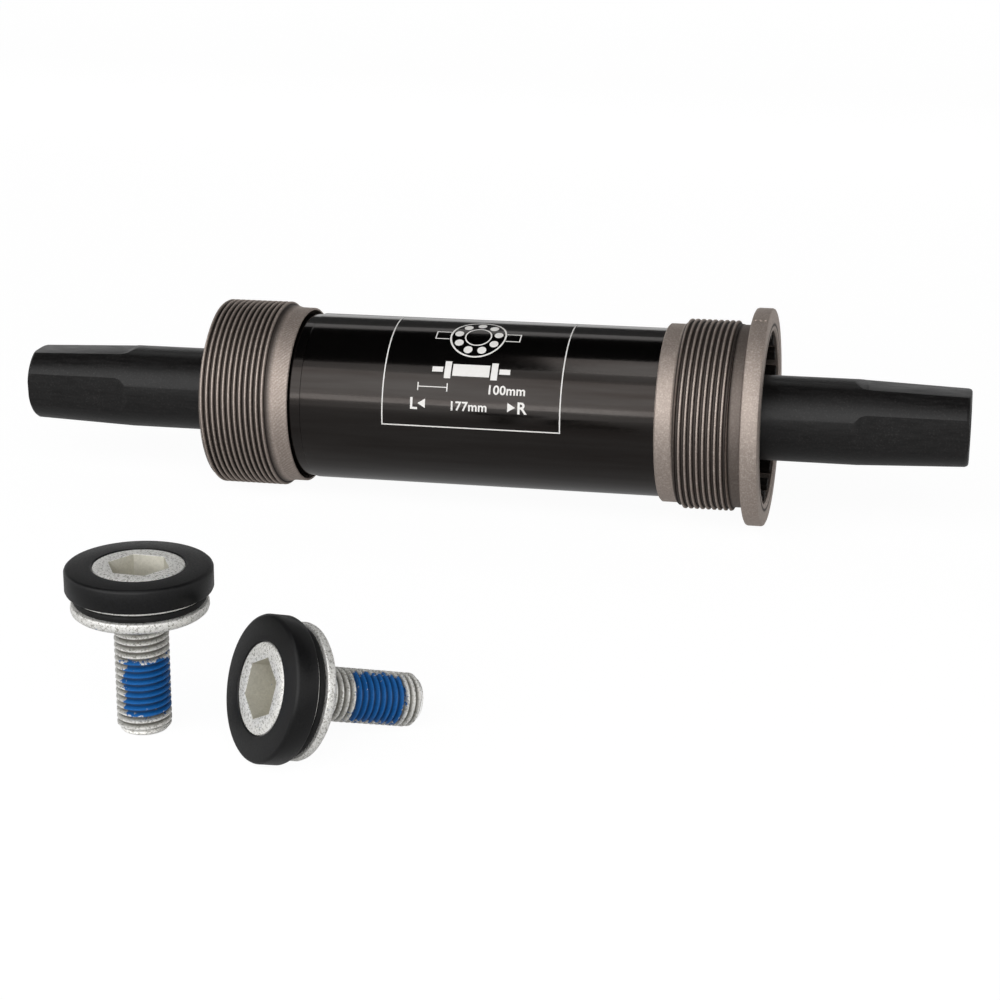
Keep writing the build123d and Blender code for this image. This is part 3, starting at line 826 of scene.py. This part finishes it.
def flat_shape(points, holes=()):
    """A flat filled shape drawn in the XY plane in millimetres."""
    deselect()
    bpy.ops.mesh.primitive_plane_add(size=MM)
    piece = bpy.context.object
    bpy.ops.object.mode_set(mode="EDIT")
    bpy.ops.mesh.select_all(action="SELECT")
    bpy.ops.mesh.merge(type="CENTER")
    bpy.ops.transform.translate(value=(points[0][0] * MM, points[0][1] * MM, 0))
    last = points[0]
    for stop in points[1:] + [points[0]]:
        step = ((stop[0] - last[0]) * MM, (stop[1] - last[1]) * MM, 0)
        bpy.ops.mesh.extrude_region_move(TRANSFORM_OT_translate={"value": step})
        last = stop
    bpy.ops.mesh.select_all(action="SELECT")
    bpy.ops.mesh.remove_doubles(threshold=0.002 * MM)
    bpy.ops.mesh.select_all(action="SELECT")
    bpy.ops.mesh.edge_face_add()
    bpy.ops.object.mode_set(mode="OBJECT")
    return piece


def bar(left, bottom, right, top):
    """A filled rectangle."""
    return flat_shape([(left, bottom), (right, bottom), (right, top), (left, top)])


def circle_line(x, y, radius, width):
    """A thin flat ring, drawn as a circle with an inset middle taken out."""
    deselect()
    bpy.ops.mesh.primitive_circle_add(
        vertices=64, radius=radius * MM, fill_type="NGON", location=(x * MM, y * MM, 0)
    )
    piece = bpy.context.object
    bpy.ops.object.transform_apply(location=True, rotation=True, scale=True)
    bpy.ops.object.mode_set(mode="EDIT")
    bpy.ops.mesh.select_all(action="SELECT")
    bpy.ops.mesh.inset(thickness=width * MM)
    bpy.ops.mesh.delete(type="FACE")
    bpy.ops.object.mode_set(mode="OBJECT")
    return piece


def dot(x, y, radius):
    """A filled disc."""
    deselect()
    bpy.ops.mesh.primitive_circle_add(
        vertices=20, radius=radius * MM, fill_type="NGON", location=(x * MM, y * MM, 0)
    )
    piece = bpy.context.object
    bpy.ops.object.transform_apply(location=True, rotation=True, scale=True)
    return piece


def words(text, x, y, height):
    """Sans lettering, its left end and baseline at x and y."""
    deselect()
    bpy.ops.object.text_add(location=(0, 0, 0))
    piece = bpy.context.object
    piece.data.body = text
    piece.data.size = height * 1.37 * MM
    piece.data.offset = 0.03 * height * MM
    piece.data.space_character = 1.04
    bpy.ops.object.convert(target="MESH")
    piece = bpy.context.object
    piece.location = (x * MM, y * MM, 0)
    bpy.ops.object.transform_apply(location=True, rotation=True, scale=True)
    return piece


def print_on_sleeve(radius, material):
    """A frame, a bearing pictogram, a side view of the unit, its two sizes and which end is which.

    Everything is drawn flat, its heights given in degrees up round the sleeve from the front,
    and then wrapped round the sleeve.
    """
    def up(angle):
        """The height on the flat drawing of an angle up round the sleeve."""
        return radians(angle) * radius

    left, right = LABEL_MIDDLE - LABEL_HALF_WIDTH, LABEL_MIDDLE + LABEL_HALF_WIDTH
    low, high = up(LABEL_EDGES[0]), up(LABEL_EDGES[1])
    shapes = [bar(x - FRAME_LINE, low, x + FRAME_LINE, high) for x in (left, right)]
    shapes += [bar(left - FRAME_LINE, low - FRAME_LINE, right + FRAME_LINE, low + FRAME_LINE)]

    # The bearing: two rings, nine balls and a plain wing each side
    x, y = LABEL_MIDDLE - 0.4, up(67.5)
    shapes += [circle_line(x, y, 5.2, 0.32), circle_line(x, y, 2.5, 0.26)]
    for index in range(9):
        angle = radians(40 * index + 90)
        shapes.append(dot(x + 3.72 * cos(angle), y + 3.72 * sin(angle), 0.82))
    for side in (-1, 1):
        near, far = sorted((x + side * 5.2, x + side * 7.9))
        shapes += [bar(near, y + 0.9, far, y + 1.1), bar(near, y - 1.1, far, y - 0.9)]
        near, far = sorted((x + side * 7.7, x + side * 7.9))
        shapes.append(bar(near, y - 0.9, far, y + 0.9))

    # The unit from the side: sleeve, cups and spindle ends
    middle = up(38.2)
    shapes.append(bar(x - 3.4, middle - 1.15, x + 3.4, middle + 1.15))
    for side in (-1, 1):
        near, far = sorted((x + side * 3.7, x + side * 4.9))
        shapes.append(bar(near, middle - 1.65, far, middle + 1.65))
        near, far = sorted((x + side * 5.2, x + side * 7.2))
        shapes.append(bar(near, middle - 0.5, far, middle + 0.5))

    # A dimension line, the two sizes, and an arrow to each end
    shapes += [bar(-9.0, up(25.4), -3.4, up(26.0)), bar(-9.0, up(22.9), -8.8, up(28.5))]
    shapes.append(bar(-3.6, up(22.9), -3.4, up(28.5)))
    shapes += [words("100mm", 3.8, up(22.6), 1.68), words("177mm", -3.0, up(10.7), 1.66)]
    shapes += [words("L", -10.3, up(10.4), 2.15), words("R", 9.5, up(10.4), 2.15)]
    arrow = up(14.3)
    shapes += [flat_shape([(-8.8, arrow), (-7.4, arrow - 0.85), (-7.4, arrow + 0.85)])]
    shapes += [flat_shape([(9.2, arrow), (7.8, arrow + 0.85), (7.8, arrow - 0.85)])]
    ink = join(shapes)
    ink.name = "sleeve_print"
    ink.data.name = "sleeve_print"
    pick(ink)
    bpy.ops.object.mode_set(mode="EDIT")
    for index in range(int(low / INK_STEP) - 1, int(high / INK_STEP) + 2):
        bpy.ops.mesh.select_all(action="SELECT")
        bpy.ops.mesh.bisect(plane_co=(0, index * INK_STEP * MM, 0), plane_no=(0, 1, 0))
    bpy.ops.object.mode_set(mode="OBJECT")
    reach = (radius + INK_LIFT) * MM
    for vertex in ink.data.vertices:
        angle = vertex.co.y / (radius * MM)
        vertex.co = Vector((vertex.co.x, -reach * cos(angle), reach * sin(angle)))
    pick(ink)
    bpy.ops.object.mode_set(mode="EDIT")
    bpy.ops.mesh.select_all(action="SELECT")
    bpy.ops.mesh.quads_convert_to_tris()
    bpy.ops.object.mode_set(mode="OBJECT")
    for face in ink.data.polygons:
        if face.normal.dot(Vector((0, face.center.y, face.center.z))) < 0:
            face.flip()
    bpy.ops.object.shade_smooth()
    ink.data.materials.clear()
    ink.data.materials.append(material)
    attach(ink, "cartridge")


# ---------------------------------------------------------------- studio

# How much of the paper's own glow the camera and the mirrors get, and how strong it is
PAPER_SEEN = 0.82
PAPER_MIRRORED = 0.23
PAPER_GLOW = 1.16
WORLD_FILL = 0.8


def rest_tilt():
    """The tilt of the surface that the flange and the left cup rest on, and where the cup touches.

    The flange is wider than the cup, so the surface tips a little along X.
    """
    flange_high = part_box("drive_cup")[1]
    cup_low, cup_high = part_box("left_cup")
    flange_x = flange_high.x - (FLANGE_THICK - FLANGE_CORNER) * MM
    cup_x = cup_low.x + CUP_CONTACT * MM
    return atan((flange_high.z - cup_high.z) / (flange_x - cup_x)), cup_x, cup_high.z


def white_paper():
    """Matt paper that the camera sees as white and mirrors see as a dim grey, with soft shadows."""
    material = bpy.data.materials.new("matt_white_paper")
    material.use_nodes = True
    tree = material.node_tree
    tree.nodes.clear()
    rays = add_node(tree, "LightPath").outputs
    seen = {0: rays["Is Camera Ray"], 1: PAPER_SEEN}
    seen = add_node(tree, "Math", seen, out=0, operation="MULTIPLY")
    mirrored = {0: rays["Is Glossy Ray"], 1: rays["Is Transmission Ray"]}
    mirrored = add_node(tree, "Math", mirrored, out=0, operation="MAXIMUM")
    mirrored = add_node(tree, "Math", {0: mirrored, 1: PAPER_MIRRORED}, out=0, operation="MULTIPLY")
    share = add_node(tree, "Math", {0: seen, 1: mirrored}, out=0, operation="MAXIMUM")
    paper = add_node(tree, "BsdfDiffuse", {"Color": linear("#bcbcbc")}, out=0)
    glow = add_node(tree, "Emission", {"Color": linear("#ffffff"), "Strength": PAPER_GLOW}, out=0)
    mixed = add_node(tree, "MixShader", {0: share, 1: paper, 2: glow}, out=0)
    add_node(tree, "OutputMaterial", {"Surface": mixed})
    return material


def cloth(name, shade):
    """Matt cloth for the cards round the object."""
    return start_material(name, **{"Base Color": linear(shade), "Roughness": 1.0})[0]


def stage_sheet(name, material, place, size, tilt=(0, 0, 0)):
    """A flat sheet of the studio, which isn't part of the object."""
    deselect()
    bpy.ops.mesh.primitive_plane_add(size=1)
    sheet = bpy.context.object
    sheet.name = name
    sheet.location = place
    sheet.scale = (*size, 1)
    sheet.rotation_euler = tilt
    sheet.data.materials.append(material)
    return sheet


def white_world():
    """White to the camera and in mirrors, and a little dimmer as a light on matt surfaces."""
    world = bpy.data.worlds.new("white_studio")
    world.use_nodes = True
    tree = world.node_tree
    tree.nodes.clear()
    rays = add_node(tree, "LightPath").outputs
    direct = {0: rays["Is Camera Ray"], 1: rays["Is Glossy Ray"]}
    direct = add_node(tree, "Math", direct, out=0, operation="MAXIMUM")
    direct = {0: direct, 1: rays["Is Transmission Ray"]}
    direct = add_node(tree, "Math", direct, out=0, operation="MAXIMUM")
    strength = {0: direct, 1: 0.0, 2: 1.0, 3: WORLD_FILL, 4: 1.0}
    strength = add_node(tree, "MapRange", strength, out=0)
    sky = add_node(tree, "Background", {"Color": linear("#ffffff"), "Strength": strength}, out=0)
    add_node(tree, "OutputWorld", {"Surface": sky})
    bpy.context.scene.world = world


def softbox(name, place, aim, size, power):
    """A rectangular lamp; lengths in metres and power in watts."""
    light = bpy.data.lights.new(name, "AREA")
    light.shape = "RECTANGLE"
    light.size, light.size_y = size
    light.energy = power
    lamp = bpy.data.objects.new(name, light)
    bpy.context.scene.collection.objects.link(lamp)
    lamp.location = place
    lamp.rotation_euler = (Vector(aim) - Vector(place)).to_track_quat("-Z", "Y").to_euler()
    return lamp


def build_studio(tilt, contact_x, contact_z):
    """Paper floor, a dark flag above, a grey card behind, lamps in front and above, a white world."""
    floor_place = (contact_x, 0, -contact_z)
    stage_sheet("studio_floor", white_paper(), floor_place, (12, 12), (0, tilt, 0))
    velvet = cloth("black_velvet_flag", "#050505")
    flag = stage_sheet("overhead_flag", velvet, (0, 0.08, 0.5), (2.4, 0.62))
    flag.visible_camera = False
    wool = cloth("grey_cloth_card", "#6a6a6a")
    card = stage_sheet("back_grey_card", wool, (0, 0.62, 0.42), (2.6, 0.62), (radians(62), 0, 0))
    card.visible_camera = False
    white_world()
    softbox("front_softbox", (-0.25, -1.05, 0.72), (0, 0, 0), (2.0, 0.8), 6.3)
    softbox("low_strip_softbox", (-0.25, -1.3, 0.3), (0, 0, 0), (2.0, 0.16), 3.0)
    # A small one overhead that only mirrors show, for the second bright band on the sleeve
    above, below = (-0.055, -0.135, 0.48), (-0.055, -0.134, 0.0)
    glint = softbox("sleeve_glint_softbox", above, below, (0.115, 0.2), 0.15)
    glint.visible_diffuse = False


def place_camera():
    """Looks down at the front of the bracket from a little to its right."""
    azimuth, elevation, roll = radians(12.87), radians(18.5), radians(-0.72)
    distance, focal_length = 0.440, 84.12
    aim = Vector((2.85, 0, -18.85)) * MM
    back = Vector((sin(azimuth) * cos(elevation), -cos(azimuth) * cos(elevation), sin(elevation)))
    right = Vector((cos(azimuth), sin(azimuth), 0))
    up = back.cross(right)
    rolled_right = right * cos(roll) + up * sin(roll)
    rolled_up = up * cos(roll) - right * sin(roll)
    lens = bpy.data.cameras.new("studio_camera")
    lens.lens = focal_length
    lens.sensor_width = 36
    lens.clip_start = 0.01
    lens.clip_end = 50
    camera = bpy.data.objects.new("studio_camera", lens)
    bpy.context.scene.collection.objects.link(camera)
    turned = Matrix((rolled_right, rolled_up, back)).transposed().to_4x4()
    camera.matrix_world = Matrix.Translation(aim + back * distance) @ turned
    bpy.context.scene.camera = camera


# ---------------------------------------------------------------- putting it together

cup_steel = blasted_nickel_steel()
rubber = nitrile_rubber()
race_steel = ground_bearing_steel()
bolt_steel = zinc_flake_steel()
acetal = moulded_black_acetal()

# The carried-over CAD nodes, by the ends of their names
hidden_finishes = {
    "spacer_tube": extruded_black_nylon(),
    "outer_race": race_steel,
    "inner_race": race_steel,
    "balls": race_steel,
    "cage": stamped_cage_steel(),
    "retaining_ring": phosphated_spring_steel(),
    "dust_seal": rubber,
    "inboard_shield": rubber,
    "outboard_shield": rubber,
}
for node_name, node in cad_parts.items():
    for ending, finish in hidden_finishes.items():
        if node_name.endswith(ending):
            node.data.materials.clear()
            node.data.materials.append(finish)

sleeve_radius = sleeve(gloss_black_enamel())
left_cup(cup_steel)
drive_cup(cup_steel)
spindle(black_oxide_steel())
print_on_sleeve(sleeve_radius, screen_print_white())

surface_tilt, contact_x, contact_z = rest_tilt()


def rest_place(x, y):
    """A point on the resting surface, with its tilt, from x and y in millimetres."""
    height = -contact_z - tan(surface_tilt) * (x * MM - contact_x)
    return Matrix.Translation((x * MM, y * MM, height)) @ Matrix.Rotation(surface_tilt, 4, "Y")


# The lying bolt rests on its thread and on the edge of its cap ring, turned a little to the front
LYING_TURN = -137.0
lying_dip = atan((CAP_OUTER - BOLT_CREST) / (HIGH_CONTACT - LOW_CONTACT))
lying_middle = (HIGH_CONTACT + LOW_CONTACT) / 2 * MM
lying_rise = (CAP_OUTER + BOLT_CREST) / 2 * cos(lying_dip) * MM
upright_place = rest_place(-24.5, -114.0)
lying_place = (
    rest_place(3.5, -111.0)
    @ Matrix.Rotation(radians(LYING_TURN), 4, "Z")
    @ Matrix.Translation((0, 0, lying_rise))
    @ Matrix.Rotation(pi / 2 - lying_dip, 4, "Y")
    @ Matrix.Translation((0, 0, -lying_middle))
)
# Each bolt's own place, the way its hexagon is turned and the side its thread-lock patch is on
bolt_stands = {"upright": (upright_place, 30, -48), "lying": (lying_place, 30, 104)}
for stance, (place, clocking, heading) in bolt_stands.items():
    body = stance + "_bolt_body"
    crank_bolt(stance + "_crank_bolt", place, body, stance + "_bolt", bolt_steel, clocking, heading)
    o_ring(stance + "_rubber_ring", place, body, stance + "_o_ring", rubber)
    cap_ring(stance + "_plastic_ring", place, body, stance + "_cap_ring", acetal)

build_studio(surface_tilt, contact_x, contact_z)
place_camera()
bpy.context.scene.view_settings.view_transform = "Standard"
